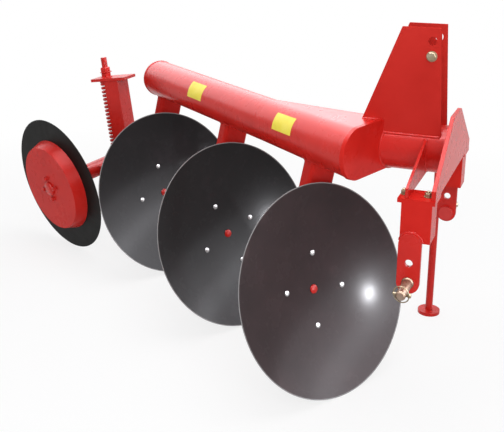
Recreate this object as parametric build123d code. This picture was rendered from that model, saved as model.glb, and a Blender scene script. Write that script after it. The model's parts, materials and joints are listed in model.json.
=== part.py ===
from build123d import *
import os
from math import cos, radians, sin, sqrt

# Three-disc mounted plough, in millimetres: X forward, Y left, Z up, standing on its discs, wheel and stand.
# Places are first worked out from the floor point under the front disc's rim centre.

# Fits
seat_gap = 0.3            # between curved faces that seat on each other
slide_gap = 0.5           # radial play of the stand in its sleeve
shaft_gap = 0.4           # radial play of a shaft in its housing
run_gap = 6               # between a turning face and a fixed one

# Discs
stations = ("front", "middle", "rear")
disc_d = 660
disc_thk = 6
dish_depth = 60
rim_land = 2              # edge left square before the bevel starts
rim_bevel = 18
centre_hole_d = 24
disc_spacing = 543        # along the beam
disc_yaw = -29            # direction that the hollow side faces, from straight ahead
disc_tilt = 18            # hollow side looks up by this much

# Disc hubs and bearing housings
flange_d = 260
flange_edge = 17
hub_boss_d = 110
hub_boss_len = 17
shaft_d = 60
housing_d = 132
housing_len = 138
housing_end = 20

# Beam
beam_yaw = -36.3
beam_clear = 54           # discs' tops to the underside of the pipe
beam_offset = 53          # beam axis to the left of the row of discs
pipe_d = 144
pipe_wall = 10
beam_tail = 8             # beam past the rear leg
end_cap_thk = 10
flare_len = 448
flare_grow = 5            # flare's rounds at the joint, past the pipe's radius
flare_start_width = 2     # flat at the narrow end of the flare
flare_span = 150          # between the centres of the flare's two rounds at the joint
joint_rim = 2             # joint plate past the flare's rounds
joint_thk = 12

# Legs
leg_width = 100
leg_thk = 56
leg_round = 14
leg_top_lateral = 98      # leg's top to the left of the row of discs
leg_clear = 23            # leg's top behind the disc's upper rim

# Front tube and mast, with rises above the tube's axis
tube_y = 187
tube_drop = 9             # tube's axis below the beam's
joint_x = 127             # joint plate's rear face on the tube's axis
mast_thk = 12
mast_gap = 84
mast_foot_x = 55
mast_heel_rise = 85
mast_low_rise = 40        # lower edge, where nothing cuts it
mast_top_x = 162
mast_front_x = 273
mast_toe_x = 292
mast_rise = 363
top_link_back = 22        # behind the mast's front edge
top_link_drop = 37        # below the mast's top
top_link_d = 25.5
spacer_drop = 80          # below the mast's top
spacer_d = 16

# A-plates across the front tube, with rises above its axis
a_thk = 12
a_front_x = 317
a_rear_x = 246
a_base_drop = 66          # foot below the tube's axis
a_edge = 28               # upright edge at each end
a_inset = 4               # ends inside the outer faces of the boxes
a_top_half = 62
a_rise = 115
gusset_thk = 8            # rear plate
gusset_top_half = 50
gusset_rise = 44

# Hitch boxes, plates and lower pins
hitch_half = 299          # tube's axis to the outer face of a box
seat_thk = 12             # flange on top of the box
seat_lip = 12
box_x = 238
box_len = 84
box_width = 76
box_height = 111
box_wall = 8
plate_thk = 12
plate_width = 64
plate_lap = 4             # upper round's centre below the box's foot
pin_x = 270
pin_drop = 117            # below the box's foot
pin_d = 28
pin_neck_d = 34           # in the plate
pin_neck_out = 2          # neck past the plate, before it narrows to the pin
pin_reach = 90            # past the plate
pin_chamfer = 4
pin_head_d = 46
pin_head_len = 14
spare_hole_rise = 59      # above the pin
spare_hole_d = 22

# Parking stand
stand_back = 21           # behind the left box
stand_out = 110           # outside the left box
stand_d = 26
stand_over = 26           # past the sleeve's top
foot_d = 80
foot_thk = 12
sleeve_wall = 8
sleeve_lift = 16          # sleeve's foot above the box's foot
sleeve_len = 100
bracket_thk = 10
bracket_lifts = (46, 86)  # above the box's foot
bracket_edge = 10         # bracket around the sleeve
bracket_inset = 6         # ahead of the box's rear edge
bracket_seat = 60         # width on the box

# Furrow wheel
wheel_d = 590
wheel_thk = 8
wheel_land = 2            # edge left square before the bevel starts
wheel_bevel = 14
wheel_x = -1402
wheel_y = 599
wheel_toe = 22.5
wheel_camber = 8.9
drum_base_d = 405
drum_face_d = 370
drum_depth = 48
drum_wall = 6
wheel_hub_d = 92
wheel_hub_len = 120       # behind the rim
axle_d = 40

# Crank and spring post
boss_d = 72
boss_len = 140
crank_thk = 34
crank_height = 44
head_d = 68
head_len = 70
post_x = -1160
post_y = 754
post_rise = 78            # post's foot above the wheel's centre
post_lean = 7.6           # top leans back
post_len = 374
post_front = 53           # web's outer face ahead of the post's axis
channel_depth = 65
channel_gap = 68
channel_wall = 8
post_plate_thk = 12
post_plate_width = 92
top_plate_len = 165
foot_plate_len = 120
rod_d = 24
rod_back = 22             # rod behind the post's axis
rod_top = 84              # rod past the top plate
coil_d = 62
coil_wire = 12
coil_turns = 18
arm_rise = 100            # above the post's foot
arm_height = 80
arm_thk = 40

UP = Vector(0, 0, 1)


def heading(yaw, pitch=0.0):
    """Unit vector at a yaw from straight ahead, raised by a pitch."""
    level = cos(radians(pitch))
    return Vector(level * cos(radians(yaw)), level * sin(radians(yaw)), sin(radians(pitch)))


beam_dir = heading(beam_yaw)
beam_left = heading(beam_yaw + 90)
disc_axis = heading(disc_yaw, disc_tilt)
joint_dir = heading(beam_yaw / 2)
joint_left = heading(beam_yaw / 2 + 90)
wheel_axis = heading(-90 - wheel_toe, -wheel_camber)


def on_row(along, left, height):
    """Point given along the row of discs, to its left and above the floor."""
    return beam_dir * along + beam_left * left + UP * height


def rod(start, direction, radius, length):
    """Round bar from a point along a direction."""
    return extrude(Plane(origin=start, z_dir=direction) * Circle(radius), amount=length)


def turned(edges):
    """Solid of revolution about Z from edges drawn in the XZ plane."""
    return revolve(make_face(edges), Axis.Z)


def turned_steps(outline):
    """Solid of revolution about Z from (radius, height) corners joined by straight lines."""
    return turned(Polyline(*[(r, 0, z) for r, z in outline], close=True).edges())


# Disc blade: a shallow cap of a sphere with its rim bevelled on the back
disc_r = disc_d / 2
dish_r = (disc_r**2 + dish_depth**2) / (2 * dish_depth)
dish_centre = dish_r - dish_depth
disc_z = disc_r * cos(radians(disc_tilt)) + rim_land * sin(radians(disc_tilt))


def on_sphere(radius, r):
    """Point at r from the disc's axis on a sphere about the dish's centre."""
    return (r, 0, dish_centre - sqrt(radius**2 - r**2))


def sphere_arc(radius, r_from, r_to):
    """Arc of that sphere's section between two distances from the axis."""
    middle = on_sphere(radius, (r_from + r_to) / 2)
    return ThreePointArc(on_sphere(radius, r_from), middle, on_sphere(radius, r_to))


def disc_blade():
    hole_r = centre_hole_d / 2
    back_r = dish_r + disc_thk
    bevel_r = disc_r - rim_bevel
    face = sphere_arc(dish_r, hole_r, disc_r)
    back = sphere_arc(back_r, hole_r, bevel_r)
    land = (disc_r, 0, -rim_land)
    sides = [
        Line(face @ 1, land),
        Line(land, back @ 1),
        Line(back @ 0, face @ 0),
    ]
    return turned([face, back] + sides)


# Hub stack behind the blade, along the disc's axis
seat_r = dish_r + disc_thk + seat_gap
flange_back = on_sphere(seat_r, flange_d / 2)[2] - flange_edge
boss_back = flange_back - hub_boss_len
housing_front = boss_back - run_gap
housing_back = housing_front - housing_len
bore_end = housing_back + housing_end
shaft_end = bore_end + run_gap
leg_reach = (housing_front + housing_back) / 2


def disc_hub():
    spigot_r = centre_hole_d / 2 - seat_gap
    spigot_front = on_sphere(dish_r, spigot_r)[2]
    seat = sphere_arc(seat_r, spigot_r, flange_d / 2)
    corners = [
        (flange_d / 2, flange_back),
        (hub_boss_d / 2, flange_back),
        (hub_boss_d / 2, boss_back),
        (shaft_d / 2, boss_back),
        (shaft_d / 2, shaft_end),
        (0, shaft_end),
        (0, spigot_front),
        (spigot_r, spigot_front),
    ]
    outline = Polyline(seat @ 1, *[(r, 0, z) for r, z in corners], seat @ 0)
    return turned([seat] + outline.edges())


def hub_housing():
    bore_r = shaft_d / 2 + shaft_gap
    return turned_steps([
        (bore_r, housing_front),
        (housing_d / 2, housing_front),
        (housing_d / 2, housing_back),
        (0, housing_back),
        (0, bore_end),
        (bore_r, bore_end),
    ])


def disc_frame(station):
    """Rim centre of a disc, with Z along its axis towards the hollow side."""
    centre = on_row(-station * disc_spacing, 0, disc_z)
    return Plane(origin=centre, x_dir=UP.cross(disc_axis), z_dir=disc_axis)


# Beam: pipe, flare and joint plate, also as filled forms that other pieces are cut to
pipe_r = pipe_d / 2
beam_z = disc_z + disc_r * cos(radians(disc_tilt)) + beam_clear + pipe_r
beam_base = on_row(0, beam_offset, beam_z)
tube_z = beam_z - tube_drop
tube_base = Vector(joint_x, tube_y, tube_z)
joint_run = (tube_base - beam_base).dot(joint_dir) / beam_dir.dot(joint_dir)
flare_start = joint_run - flare_len
leg_top_back = disc_r * sin(radians(disc_tilt)) + leg_clear + leg_thk / 2
beam_end = -disc_spacing * (len(stations) - 1) - leg_top_back - leg_thk / 2 - beam_tail
beam_at_joint = beam_base + beam_dir * joint_run
joint_span = (tube_base - beam_at_joint).dot(joint_left)


def flare_section(origin, left, direction, span, radius):
    """Oval whose right round lies on the beam's axis and whose flat runs to the left."""
    frame = Plane(origin=origin + left * (span / 2), x_dir=left, z_dir=direction)
    return frame * SlotCenterToCenter(span, 2 * radius)


def flare_form(radius):
    start = flare_section(beam_base + beam_dir * flare_start, beam_left, beam_dir, flare_start_width, radius)
    end = flare_section(beam_at_joint, joint_left, joint_dir, flare_span, radius + flare_grow)
    return loft([start.face(), end.face()], ruled=True)


def beam_form(radius):
    start = beam_base + beam_dir * beam_end
    return rod(start, beam_dir, radius, flare_start - beam_end)


def joint_form():
    oval = flare_section(beam_at_joint, joint_left, joint_dir, joint_span, pipe_r + flare_grow + joint_rim)
    return extrude(oval, amount=joint_thk)


def tube_form(radius):
    """Front tube, mitred on the joint plate's front face."""
    start = tube_base - Vector(pipe_d, 0, 0)
    bar = rod(start, Vector(1, 0, 0), radius, a_front_x - start.X)
    mitre = Plane(origin=tube_base + joint_dir * joint_thk, z_dir=joint_dir)
    return split(bar, bisect_by=mitre, keep=Keep.TOP)


pipe_solid = beam_form(pipe_r)
flare_solid = flare_form(pipe_r)
tube_solid = tube_form(pipe_r)
pipe_bore_r = pipe_r - pipe_wall


# Legs lean from the hub up to the beam, and follow the pipe and the flare at the top
def leg_point(station, height):
    """Leg's centre at a height: over the hub at the bottom, left of the row at the top."""
    hub = disc_frame(station).origin + disc_axis * leg_reach
    top = on_row(-station * disc_spacing - leg_top_back, leg_top_lateral, beam_z)
    return hub + (top - hub) * ((height - hub.Z) / (beam_z - hub.Z))


def leg(station):
    hub_z = (disc_frame(station).origin + disc_axis * leg_reach).Z
    outline = RectangleRounded(leg_thk, leg_width, leg_round)
    ends = [Plane(origin=leg_point(station, z), x_dir=beam_dir, z_dir=UP) * outline for z in (hub_z, beam_z)]
    column = loft([end.face() for end in ends], ruled=True)
    housing = disc_frame(station) * rod(Vector(0, 0, housing_back), UP, housing_d / 2, housing_len)
    return column - housing - pipe_solid - flare_solid


# Headstock
mast_top_z = tube_z + mast_rise
top_link_x = mast_front_x - top_link_back
top_link_z = mast_top_z - top_link_drop
spacer_z = mast_top_z - spacer_drop


def mast_plate(side):
    inner = tube_y + side * mast_gap / 2
    corners = [
        (mast_foot_x, tube_z + mast_heel_rise),
        (mast_top_x, mast_top_z),
        (mast_front_x, mast_top_z),
        (mast_toe_x, tube_z + mast_low_rise),
        (mast_foot_x, tube_z + mast_low_rise),
    ]
    outline = Polyline(*[(x, inner, z) for x, z in corners], close=True)
    plate = extrude(make_face(outline.edges()), amount=mast_thk, dir=(0, side, 0))
    for z, diameter in ((top_link_z, top_link_d), (spacer_z, spacer_d + 2 * seat_gap)):
        plate -= rod(Vector(top_link_x, inner, z), Vector(0, side, 0), diameter / 2, mast_thk)
    return plate - tube_solid - joint_form() - flare_solid


def mast_spacer_bolt():
    width = mast_gap + 2 * mast_thk
    start = Vector(top_link_x, tube_y - width / 2, spacer_z)
    return rod(start, Vector(0, 1, 0), spacer_d / 2, width)


def a_plate(x, thickness, top_half, top_rise):
    """Plate that narrows from the hitch boxes up to the tube or the mast, cut off level at the top."""
    base_half = hitch_half - a_inset
    right = [(-base_half, -a_base_drop), (-base_half, a_edge - a_base_drop), (-top_half, top_rise)]
    corners = right + [(-y, z) for y, z in reversed(right)]
    outline = Polyline(*[(x, tube_y + y, tube_z + z) for y, z in corners], close=True)
    return extrude(make_face(outline.edges()), amount=thickness, dir=(1, 0, 0))


# Hitch boxes, drop plates and pins, right side -1 and left side +1
box_top = tube_z - a_base_drop - seat_thk
box_foot = box_top - box_height
plate_upper_z = box_foot - plate_lap
pin_z = box_foot - pin_drop
spare_hole_z = pin_z + spare_hole_rise


def side_box(side, inner, outer, x, length, z, height):
    """Upright block on one side between two distances from the tube's axis plane."""
    centre = Vector(x + length / 2, tube_y + side * (inner + outer) / 2, z + height / 2)
    return Pos(centre) * Box(length, outer - inner, height)


def hitch_flange(side):
    length = a_front_x + a_thk - box_x + seat_lip
    return side_box(side, hitch_half - box_width - seat_lip, hitch_half, box_x - seat_lip, length,
                    box_top, seat_thk)


def hitch_box(side):
    block = side_box(side, hitch_half - box_width, hitch_half, box_x, box_len, box_foot, box_height)
    hollow = side_box(side, hitch_half - box_width + box_wall, hitch_half - box_wall, box_x + box_wall,
                      box_len - 2 * box_wall, box_foot, box_height)
    return block - hollow


def outward(side, z):
    """Frame over the pin's place on the outer face of one box, with Z pointing out."""
    origin = Vector(pin_x, tube_y + side * hitch_half, z)
    return Plane(origin=origin, x_dir=UP, z_dir=(0, side, 0))


def hitch_plate(side):
    middle = outward(side, (plate_upper_z + pin_z) / 2)
    plate = extrude(middle * SlotCenterToCenter(plate_upper_z - pin_z, plate_width), amount=plate_thk)
    for z, diameter in ((pin_z, pin_neck_d + 2 * seat_gap), (spare_hole_z, spare_hole_d)):
        plate -= extrude(outward(side, z) * Circle(diameter / 2), amount=plate_thk)
    return plate


def lower_pin(side):
    """Pin with a head behind the plate and a neck through it that narrows to the free end."""
    pin_r = pin_d / 2
    neck_r = pin_neck_d / 2
    neck_end = plate_thk + pin_neck_out
    tip = plate_thk + pin_reach
    return outward(side, pin_z) * turned_steps([
        (0, -pin_head_len),
        (pin_head_d / 2, -pin_head_len),
        (pin_head_d / 2, 0),
        (neck_r, 0),
        (neck_r, neck_end),
        (pin_r, neck_end + neck_r - pin_r),
        (pin_r, tip - pin_chamfer),
        (pin_r - pin_chamfer, tip),
        (0, tip),
    ])


# Parking stand beside the left box
stand_x = box_x - stand_back
stand_y = tube_y + hitch_half + stand_out
sleeve_bore_r = stand_d / 2 + slide_gap
sleeve_r = sleeve_bore_r + sleeve_wall
sleeve_z = box_foot + sleeve_lift
stand_top_z = sleeve_z + sleeve_len + stand_over


def stand_sleeve():
    start = Vector(stand_x, stand_y, sleeve_z)
    return rod(start, UP, sleeve_r, sleeve_len) - rod(start, UP, sleeve_bore_r, sleeve_len)


def stand_bracket():
    face_y = tube_y + hitch_half
    seat_x = box_x + bracket_inset
    plates = []
    for z in [box_foot + lift for lift in bracket_lifts]:
        eye = Pos(stand_x, stand_y, z) * Circle(sleeve_r + bracket_edge)
        seat = Line((seat_x, face_y, z), (seat_x + bracket_seat, face_y, z))
        hull = make_hull(eye.edges() + seat.edges())
        hole = rod(Vector(stand_x, stand_y, z), UP, sleeve_r, bracket_thk)
        plates.append(extrude(hull, amount=bracket_thk, dir=UP) - hole)
    return plates


def stand_leg():
    return rod(Vector(stand_x, stand_y, foot_thk), UP, stand_d / 2, stand_top_z - foot_thk)


def stand_foot():
    return rod(Vector(stand_x, stand_y, 0), UP, foot_d / 2, foot_thk)


# Furrow wheel, along its axle: rim's outer face at 0, drum outside it, hub and crank boss behind it
wheel_r = wheel_d / 2
wheel_centre = Vector(wheel_x, wheel_y, wheel_r * cos(radians(wheel_camber)))
wheel_frame = Plane(origin=wheel_centre, x_dir=UP.cross(wheel_axis), z_dir=wheel_axis)
hub_front = drum_depth - drum_wall
hub_bore_end = hub_front - drum_wall
boss_front = -wheel_hub_len - run_gap
boss_rear = boss_front - boss_len


def wheel_rim():
    hole_r = wheel_hub_d / 2 + seat_gap
    return turned_steps([
        (hole_r, 0),
        (wheel_r, 0),
        (wheel_r, -wheel_land),
        (wheel_r - wheel_bevel, -wheel_thk),
        (hole_r, -wheel_thk),
    ])


def wheel_drum():
    return turned_steps([
        (0, drum_depth),
        (drum_face_d / 2, drum_depth),
        (drum_base_d / 2, 0),
        (drum_base_d / 2 - drum_wall, 0),
        (drum_face_d / 2 - drum_wall, hub_front),
        (0, hub_front),
    ])


def wheel_hub():
    bore = axle_d / 2 + shaft_gap
    return turned_steps([
        (0, hub_front),
        (wheel_hub_d / 2, hub_front),
        (wheel_hub_d / 2, -wheel_hub_len),
        (bore, -wheel_hub_len),
        (bore, hub_bore_end),
        (0, hub_bore_end),
    ])


def stub_axle():
    return rod(Vector(0, 0, boss_rear), UP, axle_d / 2, hub_bore_end - run_gap - boss_rear)


# Spring post, with Z up its leaning axis and X forward
post_axis = heading(180, 90 - post_lean)
post_foot = Vector(post_x, post_y, wheel_centre.Z + post_rise)
post_frame = Plane(origin=post_foot, x_dir=Vector(0, 1, 0).cross(post_axis), z_dir=post_axis)


def post_place(x, z):
    """Point in the post's middle plane."""
    return post_frame.from_local_coords(Vector(x, 0, z))


def post_block(x_from, x_to, width, z_from, z_to):
    """Block in the post's frame."""
    centre = Vector((x_from + x_to) / 2, 0, (z_from + z_to) / 2)
    return Pos(centre) * Box(x_to - x_from, width, z_to - z_from)


def post_channel():
    back = post_front - channel_depth
    block = post_block(back, post_front, channel_gap + 2 * channel_wall, 0, post_len)
    return block - post_block(back, post_front - channel_wall, channel_gap, 0, post_len)


def post_plate(length, z):
    middle = post_front - channel_depth / 2 - rod_back / 2
    plate = post_block(middle - length / 2, middle + length / 2, post_plate_width, z, z + post_plate_thk)
    return plate - rod(Vector(-rod_back, 0, z), UP, rod_d / 2 + seat_gap, post_plate_thk)


def spring_rod():
    bottom = -post_plate_thk
    return rod(Vector(-rod_back, 0, bottom), UP, rod_d / 2, post_len + post_plate_thk + rod_top - bottom)


def spring():
    """Coil as a stack of round rings about the rod."""
    pitch = post_len / coil_turns
    root_r = coil_d / 2 - coil_wire / 2
    core = [Line((rod_d / 2 + seat_gap, 0, post_len), (rod_d / 2 + seat_gap, 0, 0))]
    core.append(Line((rod_d / 2 + seat_gap, 0, 0), (root_r, 0, 0)))
    for turn in range(coil_turns):
        low = (turn + 0.5) * pitch - coil_wire / 2
        start = turn * pitch
        core.append(Line((root_r, 0, start), (root_r, 0, low)))
        high = low + coil_wire
        core.append(ThreePointArc((root_r, 0, low), (coil_d / 2, 0, (low + high) / 2), (root_r, 0, high)))
        core.append(Line((root_r, 0, high), (root_r, 0, start + pitch)))
    core.append(Line((root_r, 0, post_len), (rod_d / 2 + seat_gap, 0, post_len)))
    return Pos(-rod_back, 0, 0) * turned(core)


# Crank from the rod's lower end to the axle, and the arm from the rear leg to the post
def bar_between(start, end, width, height):
    """Rectangular bar from one point to another, its height upright."""
    run = end - start
    frame = Plane(origin=start, x_dir=UP.cross(run), z_dir=run)
    return extrude(frame * Rectangle(width, height), amount=run.length)


def wheel_crank():
    head_top = post_place(-rod_back, -post_plate_thk)
    head = rod(head_top, post_axis * -1, head_d / 2, head_len)
    boss = wheel_frame * rod(Vector(0, 0, boss_rear), UP, boss_d / 2, boss_len)
    boss_middle = wheel_frame.from_local_coords(Vector(0, 0, (boss_front + boss_rear) / 2))
    web = bar_between(head_top - post_axis * (head_len / 2), boss_middle, crank_thk, crank_height)
    bore = wheel_frame * rod(Vector(0, 0, boss_rear), UP, axle_d / 2 + seat_gap, boss_len)
    return head + web + boss - bore


def wheel_arm(rear_leg):
    web_middle = post_place(post_front - channel_wall / 2, arm_rise / post_axis.Z)
    leg_middle = leg_point(len(stations) - 1, post_foot.Z + arm_rise)
    bar = bar_between(leg_middle, web_middle, arm_thk, arm_height)
    envelope = post_frame * post_block(post_front - channel_depth, post_front, channel_gap, 0, post_len)
    return bar - rear_leg - envelope


pieces = {
    "beam_pipe": pipe_solid - beam_form(pipe_bore_r),
    "beam_end_cap": rod(beam_base + beam_dir * (beam_end - end_cap_thk), beam_dir, pipe_r, end_cap_thk),
    "beam_flare": flare_solid - flare_form(pipe_bore_r),
    "joint_plate": joint_form(),
    "front_tube": tube_solid - tube_form(pipe_bore_r),
    "mast_spacer_bolt": mast_spacer_bolt(),
    "a_plate_front": a_plate(a_front_x, a_thk, a_top_half, a_rise),
    "a_plate_rear": a_plate(a_rear_x, gusset_thk, gusset_top_half, gusset_rise) - tube_solid,
    "stand_bracket": stand_bracket(),
    "stand_sleeve": stand_sleeve(),
    "stand_leg": stand_leg(),
    "stand_foot": stand_foot(),
    "wheel_rim": wheel_frame * wheel_rim(),
    "wheel_drum": wheel_frame * wheel_drum(),
    "wheel_hub": wheel_frame * wheel_hub(),
    "stub_axle": wheel_frame * stub_axle(),
    "wheel_crank": wheel_crank(),
    "post_channel": post_frame * post_channel(),
    "post_top_plate": post_frame * post_plate(top_plate_len, post_len),
    "post_foot_plate": post_frame * post_plate(foot_plate_len, -post_plate_thk),
    "spring_rod": post_frame * spring_rod(),
    "spring": post_frame * spring(),
}
for name, side in (("right", -1), ("left", 1)):
    pieces["mast_plate_" + name] = mast_plate(side)
    pieces["hitch_flange_" + name] = hitch_flange(side)
    pieces["hitch_box_" + name] = hitch_box(side)
    pieces["hitch_plate_" + name] = hitch_plate(side)
    pieces["lower_pin_" + name] = lower_pin(side)
for station, name in enumerate(stations):
    pieces["leg_" + name] = leg(station)
    pieces["hub_housing_" + name] = disc_frame(station) * hub_housing()
    pieces["disc_hub_" + name] = disc_frame(station) * disc_hub()
    pieces["disc_blade_" + name] = disc_frame(station) * disc_blade()
pieces["wheel_arm"] = wheel_arm(pieces["leg_rear"])

# The origin moves to the middle of the machine's box, on the floor
solids = {name: Compound(children=ShapeList(piece).solids() if isinstance(piece, list) else piece.solids())
          for name, piece in pieces.items()}
boxes = [solid.bounding_box() for solid in solids.values()]
origin = Vector(
    (min(box.min.X for box in boxes) + max(box.max.X for box in boxes)) / 2,
    (min(box.min.Y for box in boxes) + max(box.max.Y for box in boxes)) / 2,
    min(box.min.Z for box in boxes),
)

os.makedirs("parts", exist_ok=True)
for name, solid in solids.items():
    export_step(Pos(origin * -1) * solid, "parts/" + name + ".step")
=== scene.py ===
import json
import bpy
import numpy as np
from mathutils import Matrix, Vector


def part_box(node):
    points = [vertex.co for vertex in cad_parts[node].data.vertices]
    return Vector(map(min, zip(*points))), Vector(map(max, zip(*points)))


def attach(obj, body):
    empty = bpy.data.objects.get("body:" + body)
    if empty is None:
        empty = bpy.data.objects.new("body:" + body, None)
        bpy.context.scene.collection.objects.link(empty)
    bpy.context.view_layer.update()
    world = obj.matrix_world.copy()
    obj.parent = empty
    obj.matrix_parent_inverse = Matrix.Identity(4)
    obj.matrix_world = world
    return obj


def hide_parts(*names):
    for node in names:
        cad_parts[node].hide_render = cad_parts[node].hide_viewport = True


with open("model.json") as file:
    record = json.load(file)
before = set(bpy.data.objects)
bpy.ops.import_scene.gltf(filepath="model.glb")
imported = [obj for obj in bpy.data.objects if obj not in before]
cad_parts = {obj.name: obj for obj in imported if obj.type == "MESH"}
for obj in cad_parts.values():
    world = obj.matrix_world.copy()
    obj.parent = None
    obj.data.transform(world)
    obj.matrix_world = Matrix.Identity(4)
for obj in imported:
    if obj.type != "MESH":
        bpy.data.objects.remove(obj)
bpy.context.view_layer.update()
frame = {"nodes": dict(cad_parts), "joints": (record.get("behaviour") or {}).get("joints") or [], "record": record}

# Three-disc mounted plough in gloss red, with black dished discs, on a white studio floor. Lengths in metres.

UP = np.array([0.0, 0.0, 1.0])
AHEAD = np.array([1.0, 0.0, 0.0])
LEFT = np.array([0.0, 1.0, 0.0])
JOINTS = {joint["name"]: joint for joint in frame["joints"]}
STATIONS = ("front", "middle", "rear")
SIDES = {"right": -1, "left": 1}
TOUCH = 0.0001  # keeps faces that meet from lying in one plane


def unit(v):
    return np.asarray(v, float) / np.linalg.norm(v)


def heading(yaw, pitch=0.0):
    """Unit vector at a yaw from straight ahead, raised by a pitch, in degrees."""
    a, b = np.radians((yaw, pitch))
    return np.array([np.cos(b) * np.cos(a), np.cos(b) * np.sin(a), np.sin(b)])


def box_of(node):
    """Low and high corner of a CAD node's box."""
    low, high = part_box(node)
    return np.array(low), np.array(high)


def middle(node):
    """Middle of a CAD node's box."""
    low, high = box_of(node)
    return (low + high) / 2


def outer(node, side):
    """Place across the machine of a CAD node's outer face on its side."""
    return box_of(node)[1 if side == "left" else 0][1]


def basis(axis, near=UP):
    """Rows x, y, z of a right-handed frame: z along axis, y as near as it can be to the given direction."""
    z = unit(axis)
    x = np.cross(near, z)
    x = unit(x) if np.linalg.norm(x) > 1e-6 else unit(np.cross(LEFT, z))
    return np.stack([x, np.cross(z, x), z])


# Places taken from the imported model
disc_centre = {s: np.array(JOINTS["disc_" + s + "_spin"]["pos_m"]) for s in STATIONS}
disc_axis = unit(JOINTS["disc_front_spin"]["axis"])
wheel_centre = np.array(JOINTS["furrow_wheel_spin"]["pos_m"])
wheel_axis = unit(JOINTS["furrow_wheel_spin"]["axis"])
beam_dir = unit(disc_centre["front"] - disc_centre["rear"])
beam_left = np.cross(UP, beam_dir)
row_start = disc_centre["front"] @ beam_dir
tube_low, tube_high = box_of("front_tube")
tube_y, tube_z = middle("front_tube")[1:]
tube_r = (tube_high[2] - tube_low[2]) / 2
cap_low, cap_high = box_of("beam_end_cap")
cap_mid = middle("beam_end_cap")
pipe_r = (cap_high[2] - cap_low[2]) / 2
beam_z = cap_mid[2]
beam_axis_left = cap_mid @ beam_left


def on_beam(along, left, height):
    """Points given along the beam from the front disc's centre, left of the beam's axis, and by height."""
    along, left, height = np.broadcast_arrays(along, left, height)
    along = along + row_start
    left = left + beam_axis_left
    return along[..., None] * beam_dir + left[..., None] * beam_left + height[..., None] * UP


# Flare from the pipe to the headstock: straight lines from a circle to an oval in the slanted joint plane
joint_turn = np.degrees(np.arctan2(beam_dir[1], beam_dir[0])) / 2
joint_dir = heading(joint_turn)
joint_left = heading(joint_turn + 90)
joint_slope = np.tan(np.radians(-joint_turn))
flare_start, joint_run, flare_grow, flare_span = -0.3997, 0.0483, 0.005, 0.150
flare_end = on_beam(joint_run, 0, beam_z)
flare_r = pipe_r + flare_grow


def flare_height(points):
    """Flare's half height over points on the floor: a round of growing radius, a flat, the same round."""
    along = points @ beam_dir - row_start
    left = points @ beam_left - beam_axis_left
    last = joint_run - left * joint_slope
    t = np.clip((along - flare_start) / (last - flare_start), 0, 1)
    radius = pipe_r + flare_grow * t
    flat = flare_span * np.cos(np.radians(joint_turn)) * t
    out = np.where(left < 0, left, np.maximum(left - flat, 0))
    return np.sqrt(np.maximum(radius**2 - out**2, 0))


# Meshes from arrays
def add_mesh(name, points, faces, material, body, slot, smooth=True):
    """One piece from an array of points and lists of faces, riding on a body."""
    mesh = bpy.data.meshes.new(name)
    mesh.from_pydata(np.asarray(points, float).reshape(-1, 3).tolist(), [], faces)
    mesh.polygons.foreach_set("use_smooth", np.full(len(mesh.polygons), smooth))
    mesh.materials.append(material)
    mesh.validate()
    mesh.update()
    piece = bpy.data.objects.new(name, mesh)
    bpy.context.scene.collection.objects.link(piece)
    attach(piece, body)
    return piece


def grid_faces(rows, columns, wrap_rows=False, wrap_columns=False):
    """Quads of a grid whose second index runs fastest."""
    i = np.arange(rows if wrap_rows else rows - 1)
    j = np.arange(columns if wrap_columns else columns - 1)
    i, j = (a.ravel() for a in np.meshgrid(i, j, indexing="ij"))
    i2, j2 = (i + 1) % rows, (j + 1) % columns
    quads = np.stack([i * columns + j, i * columns + j2, i2 * columns + j2, i2 * columns + j], 1)
    return quads.tolist()


def closed_faces(rings, sides):
    """Quads between rings of points, with a face over the first ring and one over the last."""
    first = list(range(sides))[::-1]
    last = [(rings - 1) * sides + k for k in range(sides)]
    return grid_faces(rings, sides, wrap_columns=True) + [first, last]


def joined(parts):
    """Several (points, faces) shapes as one."""
    points, faces, start = [], [], 0
    for p, f in parts:
        points.append(np.asarray(p).reshape(-1, 3))
        faces += [[k + start for k in face] for face in f]
        start += len(points[-1])
    return np.concatenate(points), faces


def turned(profile, origin, axes, sides):
    """Surface of revolution: profile (radius, height) at every angle about the frame's z."""
    profile = np.asarray(profile, float)
    angle = np.linspace(0, 2 * np.pi, sides, endpoint=False)
    r, h = profile[:, :1], profile[:, 1:]
    local = np.stack([r * np.cos(angle), r * np.sin(angle), h + 0 * angle], -1)
    return np.asarray(origin) + local.reshape(-1, 3) @ axes, closed_faces(len(profile), sides)


def prism(outline, profile, origin, axes):
    """Straight-sided surface: an outline of unit size scaled by each (scale, height) of the profile."""
    profile = np.asarray(profile, float)
    n = len(outline)
    flat = profile[:, :1, None] * outline[None]
    local = np.concatenate([flat, np.broadcast_to(profile[:, 1:, None], (len(profile), n, 1))], -1)
    return np.asarray(origin) + local.reshape(-1, 3) @ axes, closed_faces(len(profile), n)


HEX = np.stack([np.cos(np.arange(6) * np.pi / 3), np.sin(np.arange(6) * np.pi / 3)], 1)


def hex_nut(origin, axes, across, height, end=0.0, end_r=0.0):
    """Six-sided nut with its corners turned off, on a washer, and a round bolt end past it."""
    corner_r = across / np.sqrt(3)
    washer_r = corner_r * 1.12
    seat = height * 0.16
    washer = [(washer_r, 0), (washer_r, height * 0.14), (corner_r * 1.02, seat)]
    nut = [(corner_r * 0.95, seat), (corner_r, seat + height * 0.1), (corner_r, height * 0.88),
           (corner_r * 0.9, height)]
    shapes = [turned(washer, origin, axes, 24), prism(HEX, nut, origin, axes)]
    if end:
        tip = [(end_r, height), (end_r, height + end * 0.75), (end_r * 0.75, height + end)]
        shapes.append(turned(tip, origin, axes, 18))
    return shapes


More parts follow.
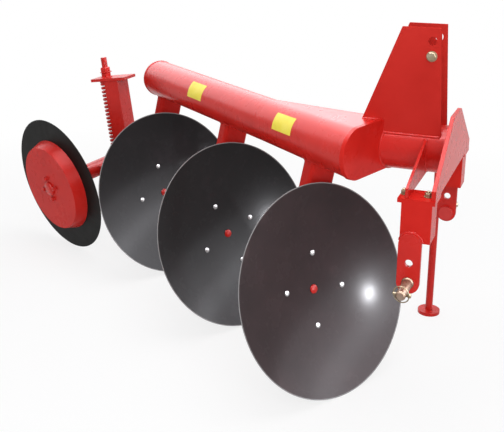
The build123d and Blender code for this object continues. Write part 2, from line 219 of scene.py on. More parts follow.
def dome(origin, axes, radius, height, wall=0.25):
    """Round head: a wall of a share of the height, then an ellipse that closes at the middle."""
    t = np.linspace(0, np.pi / 2 * 0.98, 7)
    curve = np.stack([radius * np.cos(t), height * (wall + (1 - wall) * np.sin(t))], 1)
    return turned(np.concatenate([[(radius, 0)], curve]), origin, axes, 24)


def bolt_ring(radius, first, count=4):
    """Places evenly round a circle in a local frame, from a first angle in degrees."""
    turn = np.radians(first + 360 / count * np.arange(count))
    return np.stack([np.cos(turn), np.sin(turn), 0 * turn], 1) * radius


def tube_along(path, radius, sides=10, closed=False, guide=None):
    """Round wire: a circle, whose radius may change, carried along a path by its tangents and a guide."""
    path = np.asarray(path, float)
    n = len(path)
    radius = np.broadcast_to(radius, (n,))
    if closed:
        tangent = np.roll(path, -1, 0) - np.roll(path, 1, 0)
    else:
        tangent = np.gradient(path, axis=0)
    tangent /= np.linalg.norm(tangent, axis=1, keepdims=True)
    guide = path - path.mean(0) if guide is None else np.broadcast_to(guide, path.shape)
    side = np.cross(tangent, guide)
    side /= np.linalg.norm(side, axis=1, keepdims=True) + 1e-12
    other = np.cross(tangent, side)
    a = np.linspace(0, 2 * np.pi, sides, endpoint=False)
    ring = side[:, None] * np.cos(a)[None, :, None] + other[:, None] * np.sin(a)[None, :, None]
    points = path[:, None] + ring * radius[:, None, None]
    faces = grid_faces(n, sides, wrap_rows=closed, wrap_columns=True)
    if not closed:
        faces.append(list(range(sides)))
        faces.append([(n - 1) * sides + k for k in range(sides)][::-1])
    return points.reshape(-1, 3), [f[::-1] for f in faces]


BEAD_STEP, RIPPLE_LENGTH, RIPPLE_DEPTH = 0.0025, 0.008, 0.13


def lengths_along(path):
    """Length run at each point of a path, from its first."""
    return np.concatenate([[0], np.cumsum(np.linalg.norm(np.diff(path, axis=0), axis=1))])


def weld_bead(path, radius, closed=False, guide=None):
    """Weld bead: a round wire along an evenly stepped path, its radius rippling with the length run."""
    path = np.asarray(path, float)
    if closed:
        path = np.concatenate([path, path[:1]])
    run = lengths_along(path)
    steps = np.linspace(0, run[-1], max(int(run[-1] / BEAD_STEP), 4), endpoint=not closed)
    even = np.stack([np.interp(steps, run, path[:, k]) for k in range(3)], 1)
    ripples = np.round(run[-1] / RIPPLE_LENGTH)
    wave = 1 + RIPPLE_DEPTH * np.sin(2 * np.pi * ripples * steps / run[-1])
    return tube_along(even, radius * wave, 8, closed, guide)


# Materials
def new_material(name):
    material = bpy.data.materials.new(name)
    material.use_nodes = True
    tree = material.node_tree
    tree.nodes.clear()
    out = tree.nodes.new("ShaderNodeOutputMaterial")
    shader = tree.nodes.new("ShaderNodeBsdfPrincipled")
    tree.links.new(shader.outputs["BSDF"], out.inputs["Surface"])
    return material, tree, shader


def add_node(tree, kind, links=None, **values):
    """Node with its inputs set by name, from numbers or from other nodes' sockets."""
    node = tree.nodes.new(kind)
    for key, value in values.items():
        setattr(node, key, value)
    for key, value in (links or {}).items():
        socket = node.inputs[key]
        if isinstance(value, bpy.types.NodeSocket):
            tree.links.new(value, socket)
        else:
            socket.default_value = value
    return node


def noise(tree, place, scale, detail, rough):
    node = add_node(tree, "ShaderNodeTexNoise", {
        "Vector": place, "Scale": scale, "Detail": detail, "Roughness": rough})
    return node.outputs["Fac"]


def ramp(tree, value, stops):
    """Colour ramp with its stops given as (place, colour)."""
    node = add_node(tree, "ShaderNodeValToRGB", {"Fac": value})
    elements = node.color_ramp.elements
    elements[0].position, elements[0].color = stops[0][0], (*stops[0][1], 1)
    elements[1].position, elements[1].color = stops[-1][0], (*stops[-1][1], 1)
    for place, colour in stops[1:-1]:
        element = elements.new(place)
        element.color = (*colour, 1)
    return node.outputs["Color"]


def span(tree, value, low, high, to_low, to_high):
    node = add_node(tree, "ShaderNodeMapRange", {
        "Value": value, "From Min": low, "From Max": high, "To Min": to_low, "To Max": to_high})
    return node.outputs["Result"]


def arithmetic(tree, operation, *values):
    node = add_node(tree, "ShaderNodeMath", dict(enumerate(values)), operation=operation)
    return node.outputs[0]


def mix_colour(tree, share, first, second):
    node = add_node(tree, "ShaderNodeMix", {0: share, 6: first, 7: second}, data_type="RGBA")
    return node.outputs[2]


def finish_material(name, stops, rough, patch, grain, bump, coat=0.0, metallic=0.0, coat_rough=0.08,
                    specular=0.5, edge=0.0, worn_rim=None, painted=None):
    """Finish whose colour drifts over broad patches, whose gloss varies, and whose skin has a fine bump.

    An edge radius rounds the normals at corners. A worn rim is a centre, a radius and a colour: paint is
    rubbed off past that radius. Painted is a middle line, a distance and a colour: metal nearer to that line
    across the machine is under paint.
    """
    material, tree, shader = new_material(name)
    place = add_node(tree, "ShaderNodeTexCoord").outputs["Object"]
    colour = ramp(tree, noise(tree, place, patch, 5.0, 0.55), stops)
    if worn_rim is not None:
        centre, radius, bare = worn_rim
        reach = add_node(tree, "ShaderNodeVectorMath", {0: place, 1: centre}, operation="DISTANCE")
        rubbed = span(tree, reach.outputs["Value"], radius - 0.0015, radius + 0.001, 0.0, 1.0)
        colour = mix_colour(tree, rubbed, colour, (*bare, 1))
    if painted is not None:
        line, distance, paint = painted
        across = add_node(tree, "ShaderNodeSeparateXYZ", {0: place}).outputs["Y"]
        off = arithmetic(tree, "ABSOLUTE", arithmetic(tree, "SUBTRACT", across, line))
        bare_metal = span(tree, off, distance - 0.0005, distance + 0.0005, 0.0, 1.0)
        colour = mix_colour(tree, bare_metal, (*paint, 1), colour)
        tree.links.new(span(tree, bare_metal, 0.0, 1.0, 0.0, metallic), shader.inputs["Metallic"])
    tree.links.new(colour, shader.inputs["Base Color"])
    smear = noise(tree, place, patch * 3.7, 6.0, 0.6)
    tree.links.new(span(tree, smear, 0.3, 0.7, rough[0], rough[1]), shader.inputs["Roughness"])
    skin = noise(tree, place, grain, 2.0, 0.4)
    relief = add_node(tree, "ShaderNodeBump", {"Strength": bump[0], "Distance": bump[1], "Height": skin})
    if edge:
        soft_edge = add_node(tree, "ShaderNodeBevel", {"Radius": edge}, samples=4)
        tree.links.new(soft_edge.outputs["Normal"], relief.inputs["Normal"])
    tree.links.new(relief.outputs["Normal"], shader.inputs["Normal"])
    shader.inputs["Metallic"].default_value = metallic
    shader.inputs["Specular IOR Level"].default_value = specular
    shader.inputs["Coat Weight"].default_value = coat
    shader.inputs["Coat Roughness"].default_value = coat_rough
    return material


def drift(dark, plain, pale):
    """Stops of a colour that drifts evenly to both sides."""
    return [(0.3, dark), (0.5, plain), (0.7, pale)]


RED = (0.59, 0.018, 0.0125)
RED_STOPS = drift((0.53, 0.014, 0.0095), RED, (0.64, 0.023, 0.016))
# Darker, greyer copy of the red for the mast plates: painted shade.
SHADED_RED_STOPS = drift((0.50, 0.025, 0.019), (0.55, 0.029, 0.0225), (0.59, 0.034, 0.026))
PAINT_EDGE = 0.0025


def red_finish(name, specular, edge, stops):
    """The one red paint, at the gloss that a piece was left with; darker stops paint shade."""
    return finish_material(name, stops, rough=(0.265, 0.29), patch=5.0, grain=60.0, bump=(0.0012, 0.002),
                           specular=specular, edge=edge)


red_paint = red_finish("gloss_red_paint", 0.2, PAINT_EDGE, RED_STOPS)
soft_red = red_finish("soft_red_paint", 0.10, PAINT_EDGE, RED_STOPS)
satin_red = red_finish("satin_red_paint", 0.07, 0.0, RED_STOPS)
# Mast plates' red: its darker stops are painted shade.
shaded_red = red_finish("shaded_red_paint", 0.0, 0.0, SHADED_RED_STOPS)

# Tones of the one black lacquer per disc: the front one, several times lighter and warmer, is painted light and
# reflection; middle and rear keep the plain dark tone.
DISC_TONES_FRONT_PAINTED_LIGHT = {
    "front": (0.034, 0.0195, 0.021),
    "middle": (0.009, 0.0068, 0.0075),
    "rear": (0.010, 0.0075, 0.0085),
}
DISC_SHADES = ((0.32, 0.75), (0.5, 1.0), (0.6, 1.15), (0.7, 2.0))
WORN_PAST, WORN_COLOUR = 0.3275, (0.30, 0.29, 0.29)


def disc_finish(station):
    """Black lacquer in a tone set per disc, rubbed bare at its rim; the front disc's lighter, warmer tone is
    painted light and reflection.
    """
    stops = [(place, tuple(shade * c for c in DISC_TONES_FRONT_PAINTED_LIGHT[station])) for place, shade in DISC_SHADES]
    return finish_material("black_disc_lacquer_" + station, stops, rough=(0.24, 0.29), patch=5.0, grain=160.0,
                           bump=(0.02, 0.002), specular=0.07, coat=0.16, coat_rough=0.15,
                           worn_rim=(disc_centre[station], WORN_PAST, WORN_COLOUR))


disc_black = {s: disc_finish(s) for s in STATIONS}
wheel_black = finish_material(
    "satin_wheel_black",
    [(0.3, (0.006, 0.0058, 0.0054)), (0.6, (0.009, 0.0088, 0.0082)), (0.75, (0.014, 0.0136, 0.0128))],
    rough=(0.34, 0.46), patch=7.0, grain=180.0, bump=(0.1, 0.002), specular=0.05)
ZINC = {"rough": (0.32, 0.5), "patch": 38.0, "grain": 900.0, "bump": (0.15, 0.0006), "metallic": 0.7}
zinc_yellow = finish_material(
    "yellow_zinc_plate", drift((0.20, 0.145, 0.085), (0.28, 0.215, 0.135), (0.35, 0.295, 0.215)), **ZINC)
bare_past = outer("hitch_plate_left", "left") - tube_y - 0.002
pin_zinc = finish_material(
    "zinc_pin_with_painted_head", drift((0.18, 0.105, 0.065), (0.25, 0.16, 0.11), (0.31, 0.22, 0.17)),
    painted=(tube_y, bare_past, RED), **ZINC)
bolt_steel = finish_material(
    "bright_bolt_steel", drift((0.28, 0.27, 0.27), (0.40, 0.39, 0.39), (0.48, 0.47, 0.47)),
    rough=(0.30, 0.45), patch=60.0, grain=1200.0, bump=(0.2, 0.0005), metallic=0.8)
sticker_yellow = finish_material(
    "blank_yellow_sticker", drift((0.82, 0.65, 0.05), (0.86, 0.71, 0.07), (0.90, 0.75, 0.11)),
    rough=(0.35, 0.45), patch=30.0, grain=400.0, bump=(0.05, 0.0005), specular=0.15)

SLOT_FINISH = {"red_paint": red_paint, "wheel_black": wheel_black, "zinc_yellow": zinc_yellow}
OWN_FINISH = {"a_plate_front": soft_red, "wheel_drum": satin_red, "joint_plate": satin_red}
for station in STATIONS:
    OWN_FINISH["leg_" + station] = satin_red
    OWN_FINISH["disc_blade_" + station] = disc_black[station]
for side in SIDES:
    OWN_FINISH["lower_pin_" + side] = pin_zinc
    # the mast plates' darker red is painted shade
    OWN_FINISH["mast_plate_" + side] = shaded_red
    OWN_FINISH["hitch_box_" + side] = satin_red
    OWN_FINISH["hitch_flange_" + side] = satin_red
for entry in frame["record"]["subparts"]:
    finish = OWN_FINISH.get(entry["node"]) or SLOT_FINISH[entry["material_slot"]]
    node = frame["nodes"][entry["node"]]
    node.data.materials.clear()
    node.data.materials.append(finish)

# Disc blades' bolts: round heads in the hollow, nuts on the hub's flange behind
disc_r, dish_depth = 0.330, 0.060
dish_r = (disc_r**2 + dish_depth**2) / (2 * dish_depth)
bolt_circle = 0.113
head_r, head_height, head_sunk = 0.0094, 0.0056, 0.0006
flange_back = -0.074
centre_cap_r, centre_cap_height, centre_cap_sunk = 0.0145, 0.006, 0.0002
disc_turn = {"front": -8.5, "middle": 18.7, "rear": 4.7}


def dish_height(r):
    """Hollow face's height at a distance from the disc's axis, from the rim's plane."""
    return dish_r - dish_depth - np.sqrt(dish_r**2 - r**2)


disc_axes = basis(disc_axis)
disc_back_axes = basis(-disc_axis)
dish_slope = bolt_circle / np.sqrt(dish_r**2 - bolt_circle**2)
for station in STATIONS:
    centre, body = disc_centre[station], "disc_" + station
    heads, nuts = [], []
    for spot in bolt_ring(bolt_circle, disc_turn[station]):
        lean = unit(UP - spot / bolt_circle * dish_slope)
        seat = spot + UP * (dish_height(bolt_circle) - head_sunk)
        heads.append(dome(centre + seat @ disc_axes, basis(lean @ disc_axes), head_r, head_height))
        back = centre + (spot + UP * flange_back) @ disc_axes
        nuts += hex_nut(back, disc_back_axes, across=0.024, height=0.013, end=0.006, end_r=0.008)
    add_mesh("disc_bolt_heads_" + station, *joined(heads), bolt_steel, body, "zinc_yellow")
    add_mesh("disc_bolt_nuts_" + station, *joined(nuts), zinc_yellow, body, "zinc_yellow", smooth=False)
    seat = centre + UP * (dish_height(0.0) - centre_cap_sunk) @ disc_axes
    cap = dome(seat, disc_axes, centre_cap_r, centre_cap_height)
    add_mesh("disc_centre_cap_" + station, *cap, red_paint, body, "red_paint")

# Coil spring on its rod
rod_low, rod_high = box_of("spring_rod")
post_lean = np.radians(7.6)
post_axis = np.array([-np.sin(post_lean), 0.0, np.cos(post_lean)])
post_axes = basis(post_axis, LEFT)
rod_r = 0.012
rod_len = (rod_high[2] - rod_low[2] - 2 * rod_r * np.sin(post_lean)) / np.cos(post_lean)
rod_foot = (rod_low + rod_high) / 2 - post_axis * rod_len / 2
post_len, plate_thk = 0.374, 0.012
coil_r, wire_r, coil_turns, flat_turns, flat_share = 0.025, 0.0066, 23, 1.4, 0.05


def coil_spring():
    """Helix about the rod whose first and last turns lie flat: height grows with a clipped share of turns."""
    t = np.linspace(0, 1, coil_turns * 28)
    rise = np.clip((t - flat_share) / (1 - 2 * flat_share), 0, 1)
    height = plate_thk + wire_r + (post_len - 2 * wire_r) * rise
    angle = 2 * np.pi * (coil_turns + flat_turns) * t
    local = np.stack([coil_r * np.cos(angle), coil_r * np.sin(angle), height], 1)
    return tube_along(rod_foot + local @ post_axes, wire_r)


spring_piece = add_mesh("coil_spring", *coil_spring(), red_paint, "frame", "red_paint")
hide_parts("spring")

# Threaded end of the rod, with two nuts on the post's top plate
thread_pitch, thread_depth, thread_sides, thread_steps = 0.004, 0.0013, 24, 6
thread_r, thread_up, thread_clear = rod_r + 0.0012, 0.044, 0.0445
nut_across, nut_height, lock_nut_up, lock_nut_height = 0.038, 0.02, 0.0205, 0.022


def screw_thread(start, length):
    """Threaded surface: radius falls and rises with height along a slant of one pitch a turn."""
    angle = np.linspace(0, 2 * np.pi, thread_sides, endpoint=False)
    h = np.linspace(0, length, int(length / thread_pitch * thread_steps))
    phase = (h[:, None] / thread_pitch - angle / (2 * np.pi)) % 1.0
    r = thread_r - thread_depth * np.abs(2 * phase - 1)
    local = np.stack([r * np.cos(angle), r * np.sin(angle), h[:, None] + 0 * angle], -1)
    return start + local.reshape(-1, 3) @ post_axes, closed_faces(len(h), thread_sides)


top_seat = rod_foot + post_axis * (post_len + 2 * plate_thk)
rod_out = rod_len - post_len - 2 * plate_thk
thread = screw_thread(top_seat + post_axis * thread_up, rod_out - thread_clear)
add_mesh("adjuster_thread", *thread, red_paint, "frame", "red_paint")
nuts = hex_nut(top_seat, post_axes, nut_across, nut_height)
nuts += hex_nut(top_seat + post_axis * lock_nut_up, post_axes, nut_across, lock_nut_height)
add_mesh("adjuster_nuts", *joined(nuts), red_paint, "frame", "red_paint", smooth=False)

# Mast bolt's head and nut
spacer = middle("mast_spacer_bolt")
mast_right = (spacer[0], outer("mast_plate_right", "right") - TOUCH, spacer[2])
mast_left = (spacer[0], outer("mast_plate_left", "left") + TOUCH, spacer[2])
mast_bolts = hex_nut(mast_right, basis(-LEFT), across=0.024, height=0.011)
mast_bolts += hex_nut(mast_left, basis(LEFT), across=0.024, height=0.014, end=0.006, end_r=0.008)
add_mesh("mast_bolt_ends", *joined(mast_bolts), zinc_yellow, "frame", "zinc_yellow", smooth=False)

# Bolts on the hitch flanges
seat_inside = {"right": 0.039, "left": 0.051}
rear_bolt_in, rear_across, front_bolt_back, front_across = 0.0103, 0.015, 0.0145, 0.018
front_plate = box_of("a_plate_front")[0][0]
seat_bolts = []
for side, out in SIDES.items():
    low, high = box_of("hitch_flange_" + side)
    y = outer("hitch_flange_" + side, side) - out * seat_inside[side]
    for x, across in ((low[0] + rear_bolt_in, rear_across), (front_plate - front_bolt_back, front_across)):
        seat = (x, y, high[2] + TOUCH)
        seat_bolts += hex_nut(seat, basis(UP), across, height=0.012, end=0.005, end_r=0.005)
add_mesh("hitch_seat_bolts", *joined(seat_bolts), zinc_yellow, "frame", "zinc_yellow", smooth=False)

# Furrow wheel: drum face bolts and hub cover
wheel_axes = basis(wheel_axis)
drum_depth = 0.048
drum_circle, drum_first = 0.046, 15
hub_cover = [(0.031, 0), (0.031, 0.006), (0.028, 0.009), (0.012, 0.0105)]
face = wheel_centre + wheel_axis * (drum_depth + TOUCH)
drum_bolts = []
for spot in bolt_ring(drum_circle, drum_first):
    seat = face + spot @ wheel_axes
    drum_bolts += hex_nut(seat, wheel_axes, across=0.017, height=0.011, end=0.003, end_r=0.005)
add_mesh("drum_bolts", *joined(drum_bolts), red_paint, "furrow_wheel", "red_paint", smooth=False)
add_mesh("drum_hub_cover", *turned(hub_cover, face, wheel_axes, 48), red_paint, "furrow_wheel", "red_paint")

# Bearing covers behind the discs' housings
housing_back = -0.2353
bearing_cover = [(0.052, 0), (0.052, 0.005), (0.047, 0.009), (0.02, 0.012)]
cover_circle, cover_first, cover_seat = 0.038, 45, 0.0085
for station in STATIONS:
    back = disc_centre[station] + disc_axis * (housing_back - TOUCH)
    shapes = [turned(bearing_cover, back, disc_back_axes, 48)]
    for spot in bolt_ring(cover_circle, cover_first):
        seat = back - disc_axis * cover_seat + spot @ disc_back_axes
        shapes += hex_nut(seat, disc_back_axes, across=0.013, height=0.008)
    add_mesh("bearing_cover_" + station, *joined(shapes), red_paint, "frame", "red_paint", smooth=False)

# Linch pins through the ends of the lower hitch pins
linch_inset, linch_ring_r, linch_ring_lean, linch_wire_r = 0.013, 0.0225, 0.006, 0.0017
linch_shaft = [(0.003, -0.024), (0.0045, -0.021), (0.0045, 0.018), (0.0065, 0.0185), (0.0065, 0.025),
               (0.005, 0.0265)]


def linch_pin(side):
    """Short pin across the hitch pin's end, and a spring ring: a circle that leans out as it goes ahead."""
    pin, out = "lower_pin_" + side, SIDES[side]
    place = np.array([middle(pin)[0], outer(pin, side) - out * linch_inset, middle(pin)[2]])
    angle = np.linspace(0, 2 * np.pi, 48, endpoint=False)
    ring = np.stack([linch_ring_r * np.cos(angle), out * linch_ring_lean * np.cos(angle),
                     linch_ring_r * np.sin(angle)], 1)
    shaft = turned(linch_shaft, place, basis(AHEAD), 20)
    return [shaft, tube_along(place + ring, linch_wire_r, 8, True)]


for side in SIDES:
    add_mesh("linch_pin_" + side, *joined(linch_pin(side)), zinc_yellow, "frame", "zinc_yellow")

# Clamp bolt that holds the stand in its sleeve
sleeve_low, sleeve_high = box_of("stand_sleeve")
clamp_sunk, clamp_up, clamp_length = 0.002, 0.016, 0.0126
clamp_boss = [(0.013, 0), (0.013, 0.011), (0.0115, 0.0125)]
clamp_seat = np.array([middle("stand_sleeve")[0], sleeve_high[1] - clamp_sunk, sleeve_low[2] + clamp_up])
clamp = [turned(clamp_boss, clamp_seat, basis(LEFT), 28)]
clamp += hex_nut(clamp_seat + LEFT * clamp_length, basis(LEFT), across=0.017, height=0.011)
add_mesh("stand_clamp_bolt", *joined(clamp), red_paint, "frame", "red_paint", smooth=False)

# Weld beads, by their radius
heavy_bead, plain_bead, light_bead, fine_bead, cap_bead = 0.0042, 0.0035, 0.0028, 0.0024, 0.0022

# Weld beads at the legs' feet and tops
leg_thk, leg_width, leg_round = 0.056, 0.100, 0.014
leg_top_back, leg_top_left, leg_reach = 0.1530, 0.098, -0.1663
housing_r = 0.066


def leg_outline():
    """Leg's section: four corner arcs of one radius, from the middle of the left side right round."""
    corner = np.radians(90 - np.linspace(0, 90, 9))
    angle = (corner - np.radians([[0], [90], [180], [270]])).ravel()
    centre = np.repeat([[1, 1], [1, -1], [-1, -1], [-1, 1]], len(corner), 0)
    centre = centre * (leg_thk / 2 - leg_round, leg_width / 2 - leg_round)
    loop = centre + leg_round * np.stack([np.cos(angle), np.sin(angle)], 1)
    loop = np.concatenate([[(0, leg_width / 2)], loop, [(0, leg_width / 2)]])
    run = lengths_along(loop)
    even = np.linspace(0, run[-1], 160)
    return np.stack([np.interp(even, run, loop[:, k]) for k in (0, 1)], 1)


def on_cylinder(start, step, origin, axis, radius, last):
    """Where lines start + u step meet a cylinder: the roots of a quadratic, with the outer one for last."""
    across = (start - origin) - ((start - origin) @ axis)[:, None] * axis
    pace = step - (step @ axis) * axis
    a, b, c = pace @ pace, across @ pace, (across * across).sum(1) - radius**2
    gap = b * b - a * c
    u = (-b + (1 if last else -1) * np.sqrt(np.maximum(gap, 0))) / a
    return start + u[:, None] * step, (gap > 0) & (u < 1)


def under_flare(edges, rise):
    """Where a leg's edges meet the flare from below: points moved four times to the flare's height there."""
    path = edges + rise * 0.85
    for _ in range(4):
        drop = beam_z - flare_height(path) - edges[:, 2]
        path = edges + (drop / rise[2])[:, None] * rise
    return path


leg_beads = []
outline = leg_outline()
for station in STATIONS:
    hub = disc_centre[station] + disc_axis * leg_reach
    top = disc_centre[station] * (1, 1, 0) - beam_dir * leg_top_back + beam_left * leg_top_left + UP * beam_z
    rise = top - hub
    edges = hub + outline[:, :1] * beam_dir + outline[:, 1:] * beam_left
    low_path, _ = on_cylinder(edges, rise, hub, disc_axis, housing_r, True)
    leg_beads.append(weld_bead(low_path[:-1], heavy_bead, closed=True))
    if station == "front":
        leg_beads.append(weld_bead(under_flare(edges, rise)[:-1], heavy_bead, closed=True))
    else:
        path, met = on_cylinder(edges, rise, on_beam(0, 0, beam_z), beam_dir, pipe_r, False)
        leg_beads.append(weld_bead(path[met], heavy_bead))
add_mesh("weld_beads_legs", *joined(leg_beads), red_paint, "frame", "red_paint")

# Weld beads on the headstock
gusset_top, gusset_clear = 34, 3
bead_clear, joint_clear = 0.003, 0.016


def around_tube(x, first, last):
    """Arc of the front tube's skin at places ahead, between two angles above its left side."""
    angle = np.radians(np.linspace(first, last, 90))
    y, z = tube_y + tube_r * np.cos(angle), tube_z + tube_r * np.sin(angle)
    return np.stack([x(y) if callable(x) else np.full_like(y, x), y, z], 1)


def joint_face(y):
    """Front face of the slanted joint plate, as a straight line across the machine."""
    return tube_low[0] + (y - (tube_y - tube_r)) * joint_slope


def ahead_line(first, last, y, z, count):
    """Straight line ahead, at one place across the machine and one height."""
    ahead = np.linspace(first, last, count)
    return np.stack([ahead, np.full(count, y), np.full(count, z)], 1)


head_beads = [weld_bead(around_tube(joint_face, 0, 356), plain_bead, closed=True)]
gusset_low, gusset_high = box_of("a_plate_rear")
foot_turn = np.degrees(np.arcsin((gusset_low[2] - tube_z) / tube_r)) + gusset_clear
for x in (gusset_low[0], gusset_high[0]):
    head_beads.append(weld_bead(around_tube(x, foot_turn, gusset_top), light_bead))
    head_beads.append(weld_bead(around_tube(x, 180 - gusset_top, 180 - foot_turn), light_bead))
head_beads.append(weld_bead(around_tube(front_plate, foot_turn, 180 - foot_turn), plain_bead))

turn = np.radians(np.linspace(90, 450, 180, endpoint=False))
oval_left = np.where(np.cos(turn) > 0, flare_span, 0.0) + flare_r * np.cos(turn)
oval = flare_end + oval_left[:, None] * joint_left + (flare_r * np.sin(turn))[:, None] * UP
head_beads.append(weld_bead(oval - joint_dir * 0.001, fine_bead, closed=True))

for side in SIDES:
    low, high = box_of("mast_plate_" + side)
    y = outer("mast_plate_" + side, side)
    rest = tube_z + np.sqrt(tube_r**2 - (y - tube_y)**2)
    last = min(high[0], front_plate) - bead_clear
    line = ahead_line(joint_face(y) + bead_clear, last, y, rest, 40)
    head_beads.append(weld_bead(line, heavy_bead, guide=UP))
    line = ahead_line(low[0] + bead_clear, joint_face(y) - joint_clear, y, 0.0, 30)
    line[:, 2] = beam_z + flare_height(line)
    head_beads.append(weld_bead(line, plain_bead, guide=LEFT))
add_mesh("weld_beads_headstock", *joined(head_beads), red_paint, "frame", "red_paint")

# Weld beads over the hitch plates' upper rounds, and round the beam's end cap
plate_beads = []
angle = np.radians(np.linspace(12, 168, 60))
for side in SIDES:
    low, high = box_of("hitch_plate_" + side)
    face_y = high[1] if side == "right" else low[1]
    round_r = (high[0] - low[0]) / 2
    arc = np.stack([np.cos(angle), 0 * angle, np.sin(angle)], 1) * round_r
    arc += (low[0] + round_r, face_y, high[2] - round_r)
    plate_beads.append(weld_bead(arc, heavy_bead, guide=LEFT))
add_mesh("weld_beads_hitch", *joined(plate_beads), red_paint, "frame", "red_paint")

cap_inset = 0.005
angle = np.linspace(0, 2 * np.pi, 180, endpoint=False)
cap_ring = np.cos(angle)[:, None] * beam_left + np.sin(angle)[:, None] * UP
cap_ring = cap_mid + pipe_r * cap_ring + beam_dir * cap_inset
add_mesh("weld_bead_end_cap", *weld_bead(cap_ring, cap_bead, closed=True), red_paint, "frame", "red_paint")

# Blank stickers on the pipe and on the flare
sticker_lift, sticker_grid = 0.0005, 24


def pipe_skin(along, angle):
    """Pipe's skin: a circle about the beam's axis, at places along it and angles above its right side."""
    r = pipe_r + sticker_lift
    return on_beam(along, -r * np.cos(angle), beam_z + r * np.sin(angle))


def flare_skin(share, angle):
    """Flare's right side: straight lines from the pipe's circle to the round of the joint plane's oval."""
    start = pipe_skin(np.full_like(share, flare_start), angle)
    r = flare_r + sticker_lift
    end = flare_end - (r * np.cos(angle))[..., None] * joint_left + (r * np.sin(angle))[..., None] * UP
    return start + share[..., None] * (end - start)


for name, skin, along, angle in (("pipe", pipe_skin, (-0.882, -0.774), (3, 53)),
                                 ("flare", flare_skin, (0.233, 0.458), (6, 51))):
    along, angle = np.linspace(*along, sticker_grid), np.radians(np.linspace(*angle, sticker_grid))
    points = skin(*np.meshgrid(along, angle, indexing="ij"))
    patch = grid_faces(sticker_grid, sticker_grid)
    add_mesh("blank_sticker_" + name, points, patch, sticker_yellow, "frame", "zinc_yellow")


# White floor
def seen_straight(tree):
    """One for rays from the camera, off gloss or through glass: they all show the white background."""
    rays = add_node(tree, "ShaderNodeLightPath").outputs
    first = arithmetic(tree, "MAXIMUM", rays["Is Camera Ray"], rays["Is Glossy Ray"])
    return arithmetic(tree, "MAXIMUM", first, rays["Is Transmission Ray"])


def white_floor():
    """Pale floor that fades to plain white well away from the machine."""
    material, tree, shader = new_material("white_studio_floor")
    tree.nodes.remove(shader)
    out = next(n for n in tree.nodes if n.type == "OUTPUT_MATERIAL")
    diffuse = add_node(tree, "ShaderNodeBsdfDiffuse", {"Color": (0.86, 0.86, 0.86, 1)})
    bright = add_node(tree, "ShaderNodeEmission", {"Color": (1, 1, 1, 1), "Strength": 1.0})
    place = add_node(tree, "ShaderNodeTexCoord").outputs["Object"]
    reach = add_node(tree, "ShaderNodeVectorMath", {0: place}, operation="LENGTH").outputs["Value"]
    glow = span(tree, reach, 1.2, 2.8, 0.80, 1.0)
    seen = arithmetic(tree, "MULTIPLY", seen_straight(tree), glow)
    mixed = add_node(tree, "ShaderNodeMixShader", {0: seen, 1: diffuse.outputs[0], 2: bright.outputs[0]})
    tree.links.new(mixed.outputs[0], out.inputs["Surface"])
    return material


def studio_floor(half=12, lines=25, drop=0.0005):
    """Flat square grid well past the machine on every side."""
    x, y = np.meshgrid(np.linspace(-half, half, lines), np.linspace(-half, half, lines), indexing="ij")
    mesh = bpy.data.meshes.new("studio_floor")
    mesh.from_pydata(np.stack([x, y, 0 * x - drop], -1).reshape(-1, 3).tolist(), [], grid_faces(lines, lines))
    mesh.materials.append(white_floor())
    floor = bpy.data.objects.new("studio_floor", mesh)
    bpy.context.scene.collection.objects.link(floor)


studio_floor()

# Camera, fitted to the photograph with the machine's sizes: offsets and focal length in its pixels
picture_width, focal_length, picture_shift = 504, 818.82, 50
look_yaw, look_pitch = 112.57, -17.10
ground_point = disc_centre["front"] * (1, 1, 0)
eye = ground_point + np.array([0.66717, -2.19899, 1.41457])
gaze = heading(look_yaw, look_pitch)
right = heading(look_yaw - 90)
turn = np.stack([right, np.cross(right, gaze), -gaze], 1)
camera_data = bpy.data.cameras.new("photo_camera")
camera_data.sensor_width = 36.0
camera_data.lens = focal_length / picture_width * camera_data.sensor_width
camera_data.shift_y = -picture_shift / picture_width
camera = bpy.data.objects.new("photo_camera", camera_data)
camera.matrix_world = Matrix.Translation(Vector(eye)) @ Matrix(turn.tolist()).to_4x4()
bpy.context.scene.collection.objects.link(camera)
bpy.context.scene.camera = camera


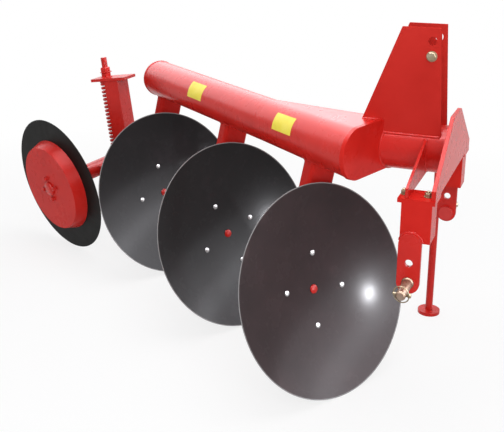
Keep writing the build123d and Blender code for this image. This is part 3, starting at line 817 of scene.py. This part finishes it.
# Lights
def soft_light(name, place, target, size, power, reflector=False):
    """Rectangular lamp facing a target. A reflector shows in gloss alone."""
    data = bpy.data.lights.new(name, "AREA")
    data.shape = "RECTANGLE"
    data.size, data.size_y = size
    data.energy = power
    data.color = (0.94, 0.95, 1.0) if reflector else (1.0, 1.0, 1.0)
    lamp = bpy.data.objects.new(name, data)
    bpy.context.scene.collection.objects.link(lamp)
    place, target = Vector(place), Vector(target)
    facing = (target - place).to_track_quat("-Z", "Y").to_matrix().to_4x4()
    lamp.matrix_world = Matrix.Translation(place) @ facing
    lamp.visible_camera = False
    lamp.visible_diffuse = not reflector


aim = disc_centre["middle"] + UP * 0.3
spot_place = ground_point + np.array([3.6, -0.544, 0.982])
soft_light("overhead_softbox", aim + np.array([0.2, 0.2, 3.2]), aim, size=(3.2, 2.6), power=74)
soft_light("camera_side_fill", aim + heading(-58, 28) * 3.6, aim, size=(2.2, 1.6), power=42)
soft_light("front_spot", spot_place, disc_centre["front"], size=(0.11, 0.11), power=48, reflector=True)
soft_light("overhead_reflector", aim + UP * 3.4, aim, size=(4.0, 4.0), power=680, reflector=True)
soft_light("back_reflector", aim + heading(138, 32) * 5.0, aim, size=(8.0, 3.4), power=275, reflector=True)
band_yaw, band_far, band_wide = 15, 6.0, 14.0
for low, high, glow in ((2, 9, 3.2), (9, 18, 5.0), (18, 45, 6.5)):
    tall = band_far * (np.tan(np.radians(high)) - np.tan(np.radians(low)))
    place = aim + heading(band_yaw, (low + high) / 2) * band_far
    power = np.pi * band_wide * tall * glow
    soft_light("ahead_reflector_%d" % low, place, aim, size=(band_wide, tall), power=power, reflector=True)

world = bpy.data.worlds.new("studio_world")
bpy.context.scene.world = world
world.use_nodes = True
tree = world.node_tree
tree.nodes.clear()
out = add_node(tree, "ShaderNodeOutputWorld")
soft = add_node(tree, "ShaderNodeBackground", {"Color": (0.95, 0.97, 1.0, 1), "Strength": 0.55})
plain = add_node(tree, "ShaderNodeBackground", {"Color": (1, 1, 1, 1), "Strength": 1.0})
seen = seen_straight(tree)
mixed = add_node(tree, "ShaderNodeMixShader", {0: seen, 1: soft.outputs[0], 2: plain.outputs[0]})
tree.links.new(mixed.outputs[0], out.inputs["Surface"])
bpy.context.scene.view_settings.view_transform = "Standard"
